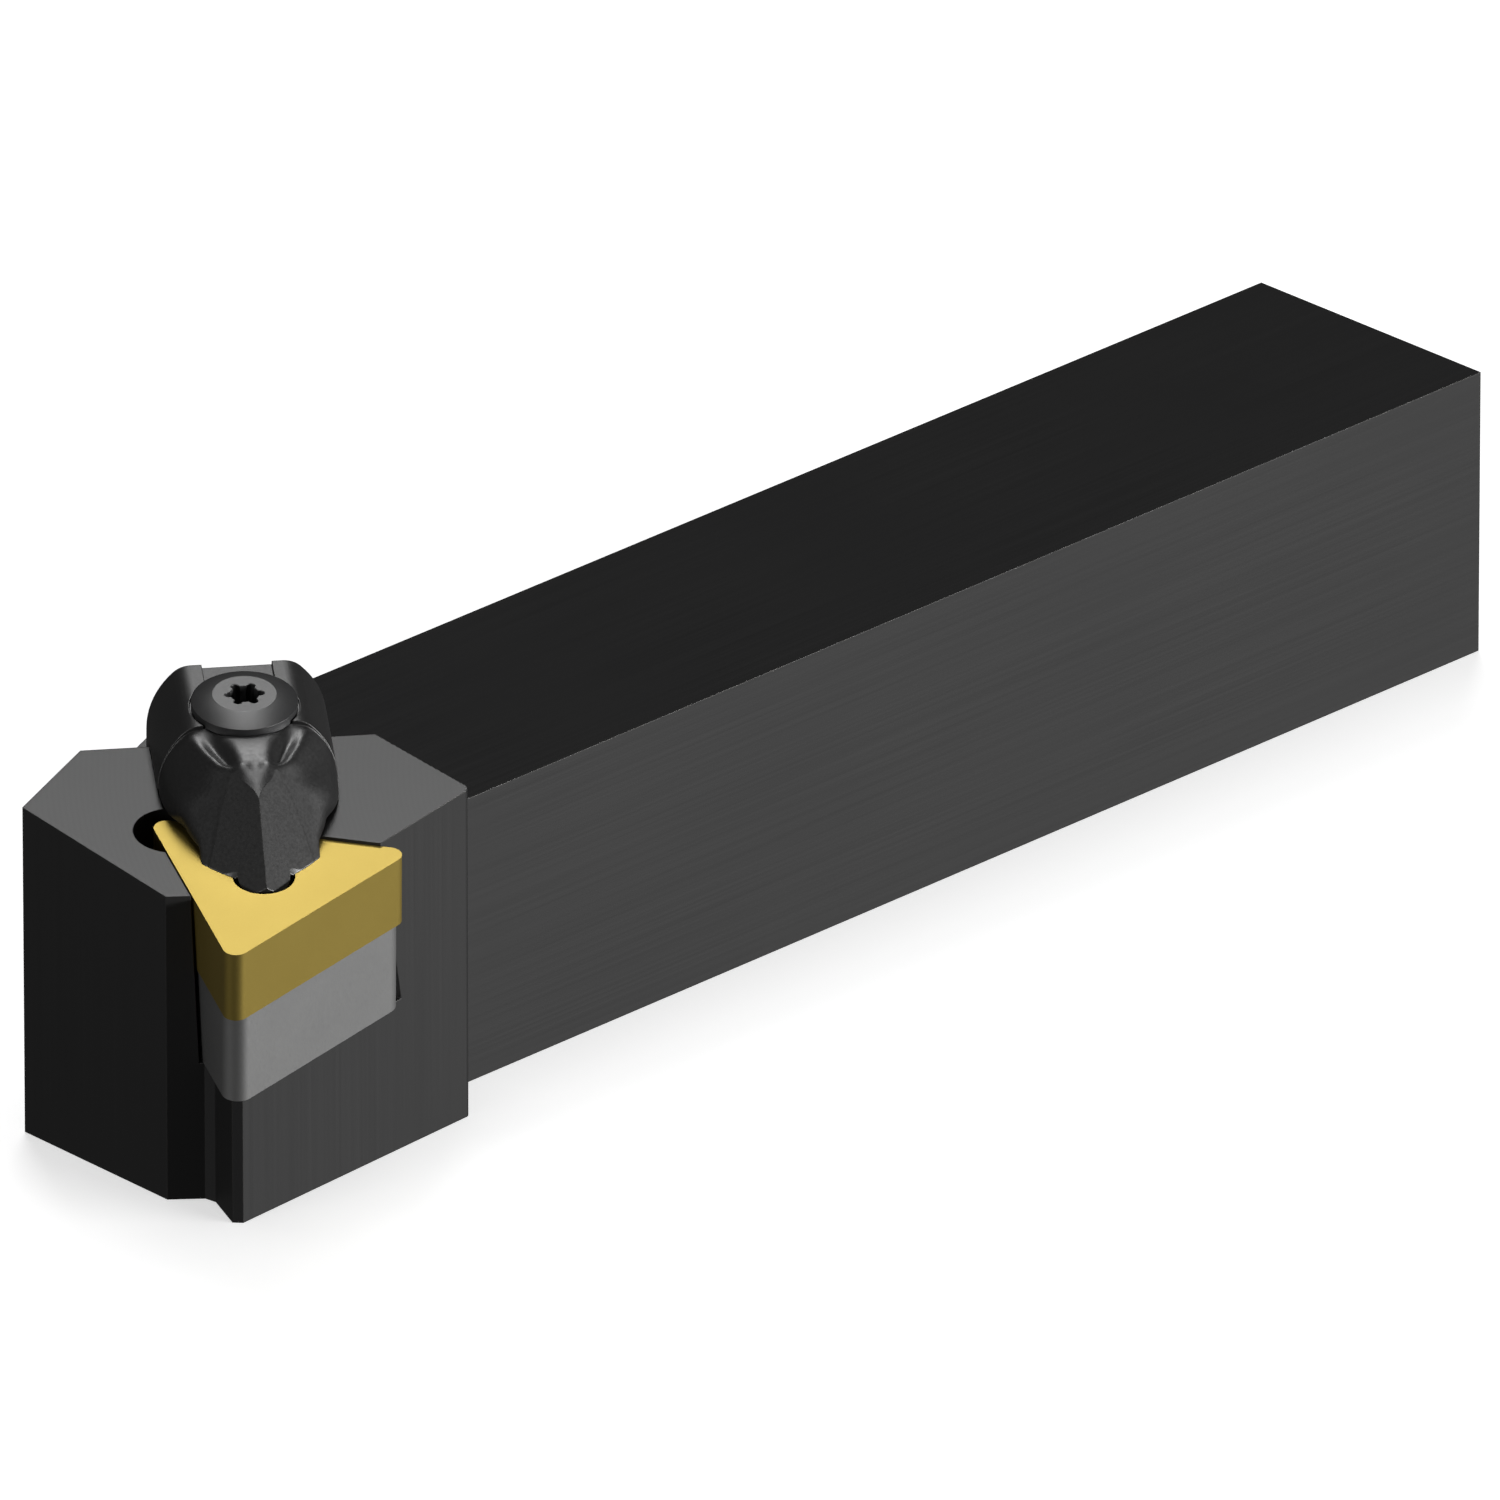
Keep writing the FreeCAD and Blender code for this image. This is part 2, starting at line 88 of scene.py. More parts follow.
towards_camera = Vector((
    math.sin(camera_azimuth) * math.cos(camera_elevation),
    -math.cos(camera_azimuth) * math.cos(camera_elevation),
    math.sin(camera_elevation),
))
camera_data = bpy.data.cameras.new("photo_camera")
camera_data.lens = lens_length
camera_data.sensor_width = sensor_width
camera_data.clip_end = 20.0
camera = bpy.data.objects.new("photo_camera", camera_data)
camera.location = picture_middle + towards_camera * camera_distance
camera.rotation_euler = (-towards_camera).to_track_quat("-Z", "Y").to_euler()
bpy.context.scene.collection.objects.link(camera)
bpy.context.scene.camera = camera
print("camera at", [round(value, 3) for value in camera.location])

# %% [markdown]
# ## Helpers for materials
# Every finish below is a small tree of nodes. One helper adds a node, sets its
# values and links its inputs, so each step of a material stays one line. A value
# that is another node's output becomes a link, and a plain number is set on the
# socket itself. Some sockets share a name, such as the two colours of a mix, so
# those are given by number.

# %% Add a node to a material


def empty_material(name):
    material = bpy.data.materials.new(name)
    material.use_nodes = True
    material.node_tree.nodes.clear()
    return material


def node(material, kind, settings=None, **inputs):
    """Adds a node. An input is its name with _ for a space, or nr_ and its number."""
    tree = material.node_tree
    made = tree.nodes.new("ShaderNode" + kind)
    for key, value in (settings or {}).items():
        setattr(made, key, value)
    for key, value in inputs.items():
        if key.startswith("nr_"):
            socket = made.inputs[int(key[3:])]
        else:
            socket = made.inputs[key.replace("_", " ")]
        if isinstance(value, bpy.types.NodeSocket):
            tree.links.new(value, socket)
        else:
            socket.default_value = value
    return made


def rgba(red, green, blue):
    return (red, green, blue, 1.0)


def colour_mix(material, share, first, second):
    """A colour between two others."""
    made = node(material, "Mix", {"data_type": "RGBA"}, nr_0=share, nr_6=first, nr_7=second)
    return made.outputs[2]


def place_on(material):
    """The place on the piece itself, so that a pattern moves with the piece."""
    return node(material, "TexCoord").outputs["Object"]


def noise(material, place, patches, detail):
    """An uneven pattern from 0 to 1, with so many patches to a metre."""
    made = node(material, "TexNoise", Vector=place, Scale=patches, Detail=detail)
    return made.outputs["Fac"]


print("helpers: empty_material, node, rgba, colour_mix, place_on, noise")

# %% [markdown]
# ## The floor
# The photograph shows the tool on pure white, with no shadow worth the name, and yet
# the faces near the table are dark. A plain white plane under lamps would stay grey,
# and it would light the tool from below. So the table here glows a little, like the
# sheet of a light table, and its light isn't allowed to reach the tool, which the
# lamps alone light. A faint unevenness keeps it from looking like paper cut to shape.

# %% The table top
floor_size = 6.0
table_glow = 0.55
table_patches = 9.0
table_darker = rgba(0.84, 0.84, 0.84)
table_lighter = rgba(0.88, 0.88, 0.88)


def pale_table():
    material = empty_material("pale_table")
    cloud = noise(material, place_on(material), table_patches, 3.0)
    shade = colour_mix(material, cloud, table_darker, table_lighter)
    surface = node(
        material, "BsdfPrincipled", Base_Color=shade, Roughness=0.85, Specular_IOR_Level=0.1,
        Emission_Color=rgba(1.0, 1.0, 1.0), Emission_Strength=table_glow)
    node(material, "OutputMaterial", Surface=surface.outputs[0])
    return material


floor_mesh = bpy.data.meshes.new("floor")
half = floor_size / 2
floor_level = min(0.0, cad_box[0][2])
corners = [(-half, -half), (half, -half), (half, half), (-half, half)]
floor_mesh.from_pydata([(x, y, floor_level) for x, y in corners], [], [(0, 1, 2, 3)])
floor_mesh.materials.append(pale_table())
floor = bpy.data.objects.new("floor", floor_mesh)
floor.visible_diffuse = False
floor.visible_glossy = False
bpy.context.scene.collection.objects.link(floor)
print("floor at", round(floor_level * 1000, 3), "mm")

# %% [markdown]
# ## The lamps
# Four soft lamps do the rest, and each has one job. The one overhead draws the ridge
# of the clamp and the dome of the screw. The small one behind the tool is mirrored to
# the camera by the top of the head, which slopes, and not by the top of the shank,
# which is level, so the two differ in tone. A long low one lights the cutting side. A
# weak one in front keeps the nose end from going black. Almost nothing comes from the
# room, because the photograph has deep blacks. One large lamp would be simpler, but
# it would make all the flat faces alike.

# %% The lamps
room_light = 0.045


def soft_lamp(name, direction, distance, width, height, watts):
    """A soft rectangular lamp that shines at the middle of the tool."""
    data = bpy.data.lights.new(name, "AREA")
    data.shape = "RECTANGLE"
    data.size = width
    data.size_y = height
    data.energy = watts
    lamp = bpy.data.objects.new(name, data)
    away = Vector(direction).normalized()
    lamp.location = picture_middle + away * distance
    lamp.rotation_euler = (-away).to_track_quat("-Z", "Y").to_euler()
    bpy.context.scene.collection.objects.link(lamp)
    print("lamp", name, "with", watts, "watts")


soft_lamp(
    "overhead", direction=(0.0, 0.0, 1.0),
    distance=1.4, width=0.7, height=0.7, watts=5.5)
soft_lamp(
    "behind", direction=(-0.35, -0.40, 0.84),
    distance=1.2, width=0.4, height=0.4, watts=4.4)
soft_lamp(
    "cutting_side", direction=(-0.42, 0.90, 0.09),
    distance=1.4, width=1.0, height=0.2, watts=30.0)
soft_lamp(
    "front", direction=(0.96, -0.10, 0.14),
    distance=1.4, width=0.6, height=0.4, watts=5.5)

world = bpy.data.worlds.new("studio")
world.use_nodes = True
background = world.node_tree.nodes["Background"]
background.inputs["Color"].default_value = rgba(1.0, 1.0, 1.0)
background.inputs["Strength"].default_value = room_light
bpy.context.scene.world = world
bpy.context.scene.view_settings.view_transform = "Standard"

# %% [markdown]
# ## Soft and worn edges
# No real edge is perfectly sharp: tumbling or a file takes a tenth of a millimetre
# off, and the rounding catches a thin line of light. Blackened steel also turns
# bright there first, where hands and chips rub it. Both could be modelled, at the
# cost of many small faces. The bevel node gives the direction that a slightly rounded
# edge would have, which does the first. Where that differs from the true direction of
# the face there is an edge, which does the second, and a noise breaks the wear up so
# that it isn't an even stripe.

# %% Find the edges of a piece
bevel_samples = 8
no_edge = 0.999
full_edge = 0.93
wear_starts = 0.42
wear_full = 0.62


def maths(material, operation, first, second=0.0):
    return node(material, "Math", {"operation": operation}, nr_0=first, nr_1=second).outputs[0]


def ramp(material, value, low, high, low_out=0.0, high_out=1.0):
    """Turns the range from low to high into another range."""
    made = node(
        material, "MapRange", {"clamp": True},
        nr_0=value, nr_1=low, nr_2=high, nr_3=low_out, nr_4=high_out)
    return made.outputs[0]


def worn_edges(material, place, width, patches):
    """Gives the direction of a face with soft edges, and how far it is worn."""
    rounded = node(material, "Bevel", {"samples": bevel_samples}, Radius=width).outputs[0]
    straight = node(material, "NewGeometry").outputs["Normal"]
    alike = node(
        material, "VectorMath", {"operation": "DOT_PRODUCT"}, nr_0=rounded, nr_1=straight)
    edge = ramp(material, alike.outputs["Value"], no_edge, full_edge)
    broken = ramp(material, noise(material, place, patches, 4.0), wear_starts, wear_full)
    return rounded, maths(material, "MULTIPLY", edge, broken)


print("wear shows from", round(math.degrees(math.acos(no_edge)), 1), "degrees of rounding")

# %% [markdown]
# ## One surface from its parts
# Every metal finish ends in the same way: a colour, a roughness and a pattern of
# marks meet in one surface. The marks are a bump, because they are a hundredth of a
# millimetre high, and no camera would see them as shape. The pattern is a noise, and
# a noise seldom leaves the range from 0.3 to 0.7, so that range is spread over the
# roughness.

# %% Join a finish and put it on a piece
mark_height = 0.00001
noise_low = 0.3
noise_high = 0.7


def rough_with(material, pattern, smooth, rough):
    """A roughness that follows a noise."""
    return ramp(material, pattern, noise_low, noise_high, smooth, rough)


def surface_of(material, colour, roughness, marks, depth, soft=None, metal=0.0, gloss=0.5):
    """Joins a colour, a roughness and a bump of the marks into one surface."""
    bump = node(material, "Bump", Height=marks, Strength=depth, Distance=mark_height)
    if soft:
        material.node_tree.links.new(soft, bump.inputs["Normal"])
    surface = node(
        material, "BsdfPrincipled", Base_Color=colour, Roughness=roughness, Metallic=metal,
        Specular_IOR_Level=gloss, Normal=bump.outputs[0])
    node(material, "OutputMaterial", Surface=surface.outputs[0])
    return material


def dress(name, material):
    """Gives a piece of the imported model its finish."""
    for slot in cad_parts[name].material_slots:
        slot.material = material
    print(name, "has", material.name)


print("marks are at most", mark_height * 1000, "mm high")

# %% [markdown]
# ## The tool marks of the holder
# The bar is milled and ground along its length. The head is cut by an end mill that
# leaves fine arcs on the faces it sweeps and upright lines on the walls. A texture of
# rings round a far centre gives the arcs, and a noise drawn out along one axis gives
# the lines. Real scratches are uneven, so an even stripe pattern would look printed.

# %% Tool marks
line_pitch = 0.00016
line_stretch = 180.0
arc_pitch = 0.00035
wave_radians = 20.0


def grey_mix(material, share, first, second):
    """A number between two others."""
    made = node(material, "Mix", {"data_type": "FLOAT"}, nr_0=share, nr_2=first, nr_3=second)
    return made.outputs[0]


def long_lines(material, place, along, pitch):
    """Fine parallel lines: a noise drawn out along one axis, 0 for X and 2 for Z."""
    across = 1.0 / pitch
    scales = [across, across, across]
    scales[along] = across / line_stretch
    stretched = node(material, "Mapping", Vector=place, Scale=scales).outputs[0]
    return noise(material, stretched, 1.0, 2.0)


def cutter_arcs(material, place, centre, pitch):
    """Arcs round a centre, as an end mill leaves them."""
    back = [-value for value in centre]
    from_centre = node(material, "Mapping", Vector=place, Location=back).outputs[0]
    bands = node(
        material, "TexWave", {"wave_type": "RINGS", "rings_direction": "Z"},
        Vector=from_centre, Scale=2 * math.pi / (wave_radians * pitch),
        Distortion=1.2, Detail=2.0, Detail_Scale=0.05)
    return bands.outputs["Fac"]


print("lines every", line_pitch * 1000, "mm, arcs every", arc_pitch * 1000, "mm")

# %% [markdown]
# ## The blackened steel of the holder
# The whole body is blackened in a hot bath, and the finish keeps the tool marks. Its
# colour is nearly black everywhere, so what tells the faces apart is how rough they
# are: a ground face mirrors the lamps, and a milled one spreads them. The marks are
# long lines on the shank, arcs on the faces of the head that look up, and upright
# lines on its walls. The origin is under the middle of the shank, so the head starts
# as far in front of it as the shank ends behind it.

# %% The blackened holder
head_start = -cad_box[0][0]
head_blend = 0.0001
cutter_centre = (head_start - 0.02, 0.03, 0.0)
black_deep = rgba(0.008, 0.008, 0.0083)
black_pale = rgba(0.013, 0.0128, 0.0126)
rubbed_black = rgba(0.06, 0.058, 0.055)
ground_smooth = 0.20
ground_rough = 0.26
wall_rougher = 0.24
milled_rougher = 0.10


def blackened_holder():
    material = empty_material("blackened_holder")
    place = place_on(material)
    facing = node(material, "NewGeometry").outputs["Normal"]
    ahead = node(material, "SeparateXYZ", Vector=place).outputs["X"]
    upward = node(material, "SeparateXYZ", Vector=facing).outputs["Z"]
    head = ramp(material, ahead, head_start, head_start + head_blend)
    looks_up = ramp(material, upward, 0.9, 0.95)
    shank_marks = long_lines(material, place, 0, line_pitch)
    wall_marks = long_lines(material, place, 2, line_pitch)
    top_marks = cutter_arcs(material, place, cutter_centre, arc_pitch)
    head_marks = grey_mix(material, looks_up, wall_marks, top_marks)
    marks = grey_mix(material, head, shank_marks, head_marks)
    cloud = noise(material, place, 70.0, 5.0)
    soft, wear = worn_edges(material, place, 0.00008, 900.0)
    black = colour_mix(material, cloud, black_deep, black_pale)
    colour = colour_mix(material, wear, black, rubbed_black)
    wall = grey_mix(material, looks_up, wall_rougher, 0.0)
    milled = grey_mix(material, head, 0.0, milled_rougher)
    rougher = maths(material, "MAXIMUM", wall, milled)
    ground = ramp(material, marks, 0.2, 0.8, ground_smooth, ground_rough)
    roughness = maths(material, "ADD", ground, rougher)
    return surface_of(material, colour, roughness, marks, 0.05, soft=soft, metal=wear)


dress("holder", blackened_holder())

# %% [markdown]
# ## The gold coating of the insert
# The insert is pressed and ground carbide under a few thousandths of a millimetre
# of hard gold coloured coating. The coating is thin, so the ground surface still
# shows through as a fine sparkle, and its colour drifts a little from place to place.
# It is a metal with a coloured mirror image, not a paint, so the colour goes on a
# fully metallic surface.

# %% The coated insert
gold_deep = rgba(0.43, 0.32, 0.080)
gold_pale = rgba(0.46, 0.347, 0.090)


def gold_coating():
    material = empty_material("gold_coating")
    place = place_on(material)
    grain = noise(material, place, 16000.0, 2.0)
    cloud = noise(material, place, 260.0, 4.0)
    gold = colour_mix(material, cloud, gold_deep, gold_pale)
    roughness = rough_with(material, grain, 0.44, 0.50)
    return surface_of(material, gold, roughness, grain, 0.04, metal=1.0)


dress("insert", gold_coating())

# %% [markdown]
# ## The ground carbide of the shim
# The shim isn't coated. It is ground on its wide faces and left as sintered round
# its sides: an even, slightly warm grey with a fine grain. It is made as the coating
# is, with other colours and a slightly coarser grain.

# %% The bare shim
carbide_deep = rgba(0.40, 0.40, 0.40)
carbide_pale = rgba(0.45, 0.45, 0.445)


def sintered_carbide():
    material = empty_material("sintered_carbide")
    place = place_on(material)
    grain = noise(material, place, 14000.0, 3.0)
    cloud = noise(material, place, 300.0, 4.0)
    grey = colour_mix(material, cloud, carbide_deep, carbide_pale)
    roughness = rough_with(material, grain, 0.42, 0.48)
    return surface_of(material, grey, roughness, grain, 0.05, metal=1.0)


dress("shim", sintered_carbide())

# %% [markdown]
# ## The clamp
# The clamp is cast close to its final shape, tumbled until its edges are soft to the
# touch, blackened and oiled. It has no tool marks, but a very fine even grain. The
# film of oil adds a clear shine over the black, so its hollows and lobes catch narrow
# highlights, and that is a stronger gloss, not a lighter colour.

# %% The oiled clamp
oiled_deep = rgba(0.005, 0.005, 0.0053)
oiled_pale = rgba(0.009, 0.0088, 0.0085)
rubbed_oiled = rgba(0.045, 0.044, 0.042)


def oiled_clamp():
    material = empty_material("oiled_clamp")
    place = place_on(material)
    grain = noise(material, place, 5200.0, 3.0)
    cloud = noise(material, place, 240.0, 4.0)
    soft, wear = worn_edges(material, place, 0.00009, 1500.0)
    black = colour_mix(material, cloud, oiled_deep, oiled_pale)
    colour = colour_mix(material, wear, black, rubbed_oiled)
    roughness = rough_with(material, grain, 0.37, 0.45)
    return surface_of(material, colour, roughness, grain, 0.04, soft=soft, gloss=0.9)


dress("clamp", oiled_clamp())

# %% [markdown]
# ## Two screws with real threads
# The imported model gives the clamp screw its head, socket and groove, and leaves the
# shank plain. A real one has a rolled M4 thread. A screw could be cut from a bar with
# booleans, but that is slow and leaves ragged faces. Here it is one closed skin: rows
# of points round the axis, from the tip up the thread, round the head and down into
# the socket. The sizes of the screws are in mm, and their places on the tool are in
# metres. A row is a height and a distance from the axis, which may change with the
# angle.

# %% A row of points round the axis
columns = 180
broken_edge = 0.04


def round_row(height, reach):
    """A row of points round the axis. The reach is a number or a rule of the angle."""
    row = []
    for index in range(columns):
        angle = 2 * math.pi * index / columns
        radius = reach(angle) if callable(reach) else reach
        row.append((radius * math.cos(angle), radius * math.sin(angle), height))
    return row


print("a point every", 360 / columns, "degrees")

# %% [markdown]
# Rolling presses the groove of a thread into the bar, so the crest and the root are
# narrow flats. In the thread, the reach of a point depends on its height and its
# angle together, which is what makes a helix. Over one turn at either end the groove
# fades out, as it does where the rolling dies leave the bar.

# %% The thread
rows_a_turn = 8
thread_pitch = 0.7
thread_depth = 0.40
thread_radius = 1.95
crest_share = 0.14
tip_depth = 1.2 * thread_depth


def within(value):
    return max(0.0, min(1.0, value))


def thread_row(height, low, high):
    fade = within(min((height - low) / thread_pitch, (high - height) / thread_pitch))

    def reach(angle):
        share = (height / thread_pitch - angle / (2 * math.pi)) % 1.0
        from_crest = abs(2 * share - 1)
        groove = (from_crest - crest_share) / (1 - 2 * crest_share)
        return thread_radius - thread_depth * fade * within(groove)

    return round_row(height, reach)


def threaded_shank(tip, high):
    """Rows from the tip up to where the thread runs out."""
    rows = [round_row(tip, thread_radius - tip_depth)]
    low = tip + thread_depth
    count = round((high - low) / thread_pitch * rows_a_turn)
    for index in range(count + 1):
        rows.append(thread_row(low + (high - low) * index / count, low, high))
    return rows


print("thread of", thread_pitch, "mm pitch, in", rows_a_turn, "rows a turn")

# %% [markdown]
# The six-lobe socket has six round lobes outside a round core. A line from the axis
# at any angle meets either the side of a lobe or the core, whichever is further out,
# and the tip of a lobe is an arc. The drill that opens the socket first leaves a
# point at the bottom. Edges that a tool broke are broken here too, by a few
# hundredths of a millimetre, because a sharp rim would catch no light.

# %% The socket
drive = {"lobe": 0.264, "reach": 0.936, "core": 0.864, "depth": 1.7, "point": 0.48}


def socket_reach(angle):
    """Distance from the axis to the wall of the six-lobe socket."""
    sixth = math.pi / 3
    off = abs(angle % sixth - sixth / 2)
    side = drive["lobe"] / max(math.sin(off), 1e-6)
    if drive["reach"] > side * math.cos(off):
        return max(drive["core"], side)
    half_chord = math.sqrt(drive["lobe"] ** 2 - (drive["reach"] * math.sin(off)) ** 2)
    return drive["reach"] * math.cos(off) + half_chord


def socket_rows(face):
    """Rows from the face down into the socket."""
    floor_height = face - drive["depth"]
    return [
        round_row(face, lambda angle: socket_reach(angle) + broken_edge),
        round_row(face - broken_edge, socket_reach),
        round_row(floor_height, socket_reach),
        round_row(floor_height, drive["core"]),
    ]


def socket_point(face):
    return face - drive["depth"] - drive["point"]


print("socket", round(2 * socket_reach(math.pi / 6), 2), "mm across its lobes")

# %% [markdown]
# Each row is joined to the next, and a point closes either end, so the skin has no
# hole. The screws lean with the insert. Their points are turned and moved before the
# mesh is made, so the object itself stays at the origin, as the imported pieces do.

# %% Join the rows into a piece
mm = 0.001
sharp_angle = math.radians(11.0)


def standing(name, points, faces, axes, origin):
    """Makes a piece from points in mm, with its own axes and origin on the tool."""
    turn = Matrix(axes).transposed()
    placed = [origin + turn @ (Vector(point) * mm) for point in points]
    mesh = bpy.data.meshes.new(name)
    mesh.from_pydata(placed, [], faces)
    mesh.shade_smooth()
    mesh.set_sharp_from_angle(angle=sharp_angle)
    piece = bpy.data.objects.new(name, mesh)
    bpy.context.scene.collection.objects.link(piece)
    print(name, "has", len(mesh.polygons), "faces")
    return piece


def closed_skin(name, rows, low_point, high_point, axes, origin):
    """Joins the rows, closes both ends and stands the piece on its axis."""
    points = [point for row in rows for point in row]
    low_index = len(points)
    high_index = low_index + 1
    points += [(0.0, 0.0, low_point), (0.0, 0.0, high_point)]
    faces = []
    last = (len(rows) - 1) * columns
    for index in range(columns):
        following = (index + 1) % columns
        faces.append((low_index, following, index))
        faces.append((high_index, last + index, last + following))
        for start in range(0, last, columns):
            above = start + columns
            faces.append((start + index, start + following, above + following, above + index))
    return standing(name, points, faces, axes, origin)


print("an edge is drawn sharp from", round(math.degrees(sharp_angle)), "degrees")

# %% [markdown]
# ## The clamp screw
# The clamp screw stands square to the top of the insert, 11.42 mm behind the middle
# of its bore. Its head is a low dome with a flat face, and its ring sits in a groove
# under the clamp. Heights are measured from the top of the insert. The directions and
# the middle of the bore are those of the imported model.

# %% The place of the clamp screw
insert_up = Vector((0.0983786, 0.1092605, 0.9891328))
insert_middle = Vector((0.061179, 0.010784, 0.0204047))
clamp_along = Vector((0.615079, 0.774689, -0.146748))
clamp_across = insert_up.cross(clamp_along)
clamp_axes = (clamp_along, clamp_across, insert_up)
screw_back = 0.01142
clamp_screw_foot = insert_middle - clamp_along * screw_back
print("foot of the screw at", [round(value / mm, 2) for value in clamp_screw_foot], "mm")

# %% The clamp screw
head_base = 4.68
head_radius = 3.25
band_top = 5.26
face_height = 5.76
face_radius = 1.95
dome_middle = Vector((2.63, 5.54))
screw_length = 19.0
shank_tip = head_base - screw_length
groove_low = 2.28
groove_high = 2.78
groove_radius = 1.6
plain_below_groove = 0.3
dome_steps = 8


def dome_rows(steps):
    """Rows on the arc through the rim, the middle of the dome and the face."""
    rim = Vector((head_radius, band_top))
    top = Vector((face_radius, face_height))
    bulge = dome_middle - (rim + top) / 2
    rows = []
    for index in range(1, steps):
        share = index / steps
        place = rim.lerp(top, share) + bulge * 4 * share * (1 - share)
        rows.append(round_row(place.y, place.x))
    return rows


clamp_screw_rows = threaded_shank(shank_tip, groove_low - plain_below_groove)
clamp_screw_rows += [
    round_row(groove_low - broken_edge, thread_radius),
    round_row(groove_low, thread_radius - broken_edge),
    round_row(groove_low, groove_radius),
    round_row(groove_high, groove_radius),
    round_row(groove_high, thread_radius - broken_edge),
    round_row(groove_high + broken_edge, thread_radius),
    round_row(head_base, thread_radius),
    round_row(head_base, head_radius - broken_edge),
    round_row(head_base + broken_edge, head_radius),
    round_row(band_top, head_radius),
]
clamp_screw_rows += dome_rows(dome_steps)
clamp_screw_rows.append(round_row(face_height, face_radius))
clamp_screw_rows += socket_rows(face_height)
clamp_screw = closed_skin(
    "threaded_clamp_screw", clamp_screw_rows, shank_tip, socket_point(face_height),
    clamp_axes, clamp_screw_foot)
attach(clamp_screw, "clamp_screw")
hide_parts("clamp_screw")

# %% [markdown]
# ## The screw of the shim
# It is sunk below the insert, so nobody sees it until the insert is taken off. It
# stands on the middle of the insert, in the same direction, and its head is a cone
# that pulls the shim down into its seat. The same rows make it, with other sizes.

# %% The screw of the shim
edge_along = Vector((-0.9931589, -0.0520493, 0.1045285))
edge_across = insert_up.cross(edge_along)
sunk_top = -5.0625
sunk_radius = 3.0
sunk_length = 11.5
sunk_tip = sunk_top - sunk_length
sunk_base = sunk_top - (sunk_radius - thread_radius)
plain_below_cone = 0.2

shim_screw_rows = threaded_shank(sunk_tip, sunk_base - plain_below_cone)
shim_screw_rows += [
    round_row(sunk_base, thread_radius),
    round_row(sunk_top - broken_edge, sunk_radius - broken_edge),
    round_row(sunk_top, sunk_radius - broken_edge),
]
shim_screw_rows += socket_rows(sunk_top)
shim_screw = closed_skin(
    "threaded_shim_screw", shim_screw_rows, sunk_tip, socket_point(sunk_top),
    (edge_along, edge_across, insert_up), insert_middle)
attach(shim_screw, "holder")
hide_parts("shim_screw")

# %% [markdown]
# ## The spring under the clamp
# The spring is coiled from flat wire and stands on the head, round the clamp screw.
# It is pressed short while the clamp is down, and it lifts the clamp as the screw is
# undone. Here the coil is made once, in one shape, and rides on no body, so it
# neither stretches nor follows the clamp.

# %% The coil
spring_turns = 3.5
steps_a_turn = 72
spring_inner = 2.5
spring_outer = 3.0
spring_low = 0.22
spring_high = 2.9
strip_height = 0.35


def coil_points():
    """Four corners of the flat wire at each step of the helix."""
    points = []
    steps = round(spring_turns * steps_a_turn)
    climb = (spring_high - spring_low - strip_height) / steps
    for index in range(steps + 1):
        angle = 2 * math.pi * index / steps_a_turn
        low = spring_low + climb * index
        high = low + strip_height
        section = [
            (spring_inner, low), (spring_outer, low), (spring_outer, high), (spring_inner, high)]
        for reach, height in section:
            points.append((reach * math.cos(angle), reach * math.sin(angle), height))
    return points


def coil_faces(count):
    """Four faces from each section to the next, and one over either end."""
    last = count - 4
    faces = [(0, 1, 2, 3), (last + 3, last + 2, last + 1, last)]
    for start in range(0, last, 4):
        for corner in range(4):
            here = start + corner
            beside = start + (corner + 1) % 4
            faces.append((here, here + 4, beside + 4, beside))
    return faces


spring_points = coil_points()
spring = standing(
    "coiled_spring", spring_points, coil_faces(len(spring_points)),
    clamp_axes, clamp_screw_foot)
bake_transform(spring)
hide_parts("clamp_spring")

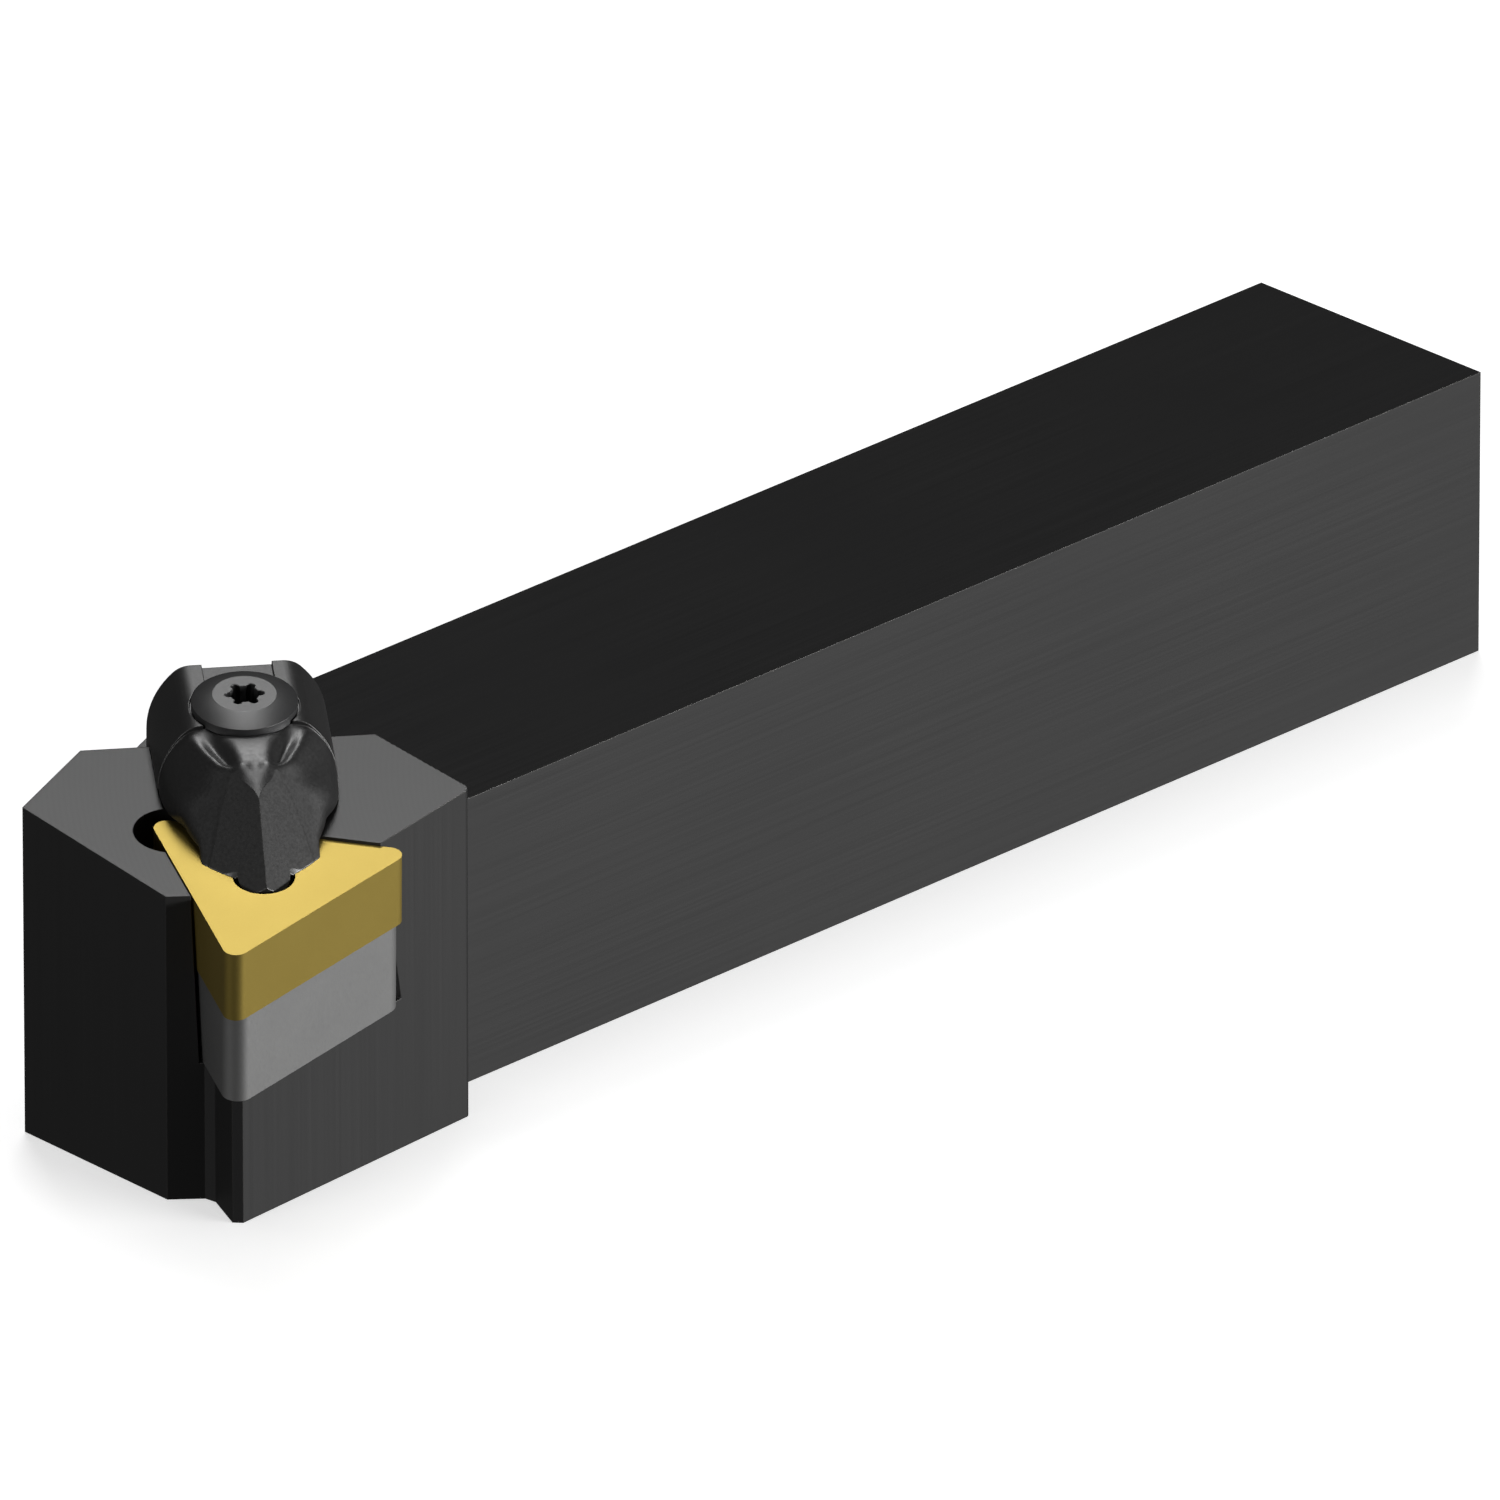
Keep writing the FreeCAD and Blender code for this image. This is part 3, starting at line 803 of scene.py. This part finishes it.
# %% [markdown]
# ## Turned and drawn steel
# Screws are turned on a lathe, so their faint marks run round the axis, and they are
# blackened and oiled after that. The marks follow the distance from the axis, which
# is the length of a cross product, so they stay round although the screw leans. The
# spring is drawn and the ring is stamped, both from bright spring steel.

# %% The two screws
turning_pitch = 0.00006
turning_share = 0.4
screw_black = rgba(0.012, 0.012, 0.0125)
rubbed_screw = rgba(0.07, 0.069, 0.067)


def turned_screw(name, foot):
    """Marks run round the axis, so they follow the distance from it."""
    material = empty_material(name)
    place = place_on(material)
    grain = noise(material, place, 4200.0, 3.0)
    from_foot = node(material, "VectorMath", {"operation": "SUBTRACT"}, nr_0=place, nr_1=foot)
    sideways = node(
        material, "VectorMath", {"operation": "CROSS_PRODUCT"},
        nr_0=from_foot.outputs["Vector"], nr_1=insert_up)
    reach = node(
        material, "VectorMath", {"operation": "LENGTH"}, nr_0=sideways.outputs["Vector"])
    rings = maths(material, "MULTIPLY", reach.outputs["Value"], 2 * math.pi / turning_pitch)
    turning = ramp(material, maths(material, "SINE", rings), -1.0, 1.0)
    marks = grey_mix(material, turning_share, grain, turning)
    soft, wear = worn_edges(material, place, 0.00004, 1500.0)
    colour = colour_mix(material, wear, screw_black, rubbed_screw)
    roughness = rough_with(material, marks, 0.36, 0.44)
    return surface_of(
        material, colour, roughness, marks, 0.05, soft=soft, metal=wear, gloss=1.0)


clamp_screw.data.materials.append(turned_screw("turned_clamp_screw", clamp_screw_foot))
shim_screw.data.materials.append(turned_screw("turned_shim_screw", insert_middle))
print("turned marks every", round(turning_pitch / mm, 3), "mm")

# %% The ring and the spring
steel_deep = rgba(0.32, 0.32, 0.33)
steel_pale = rgba(0.42, 0.42, 0.43)


def spring_steel():
    material = empty_material("spring_steel")
    grain = noise(material, place_on(material), 6000.0, 3.0)
    grey = colour_mix(material, grain, steel_deep, steel_pale)
    roughness = rough_with(material, grain, 0.26, 0.38)
    return surface_of(material, grey, roughness, grain, 0.06, metal=0.9)


spring_finish = spring_steel()
dress("retaining_ring", spring_finish)
spring.data.materials.append(spring_finish)

# %% [markdown]
# ## The end
# The finished model must fill the same box as the imported one.

# %% Finish
print("finished")
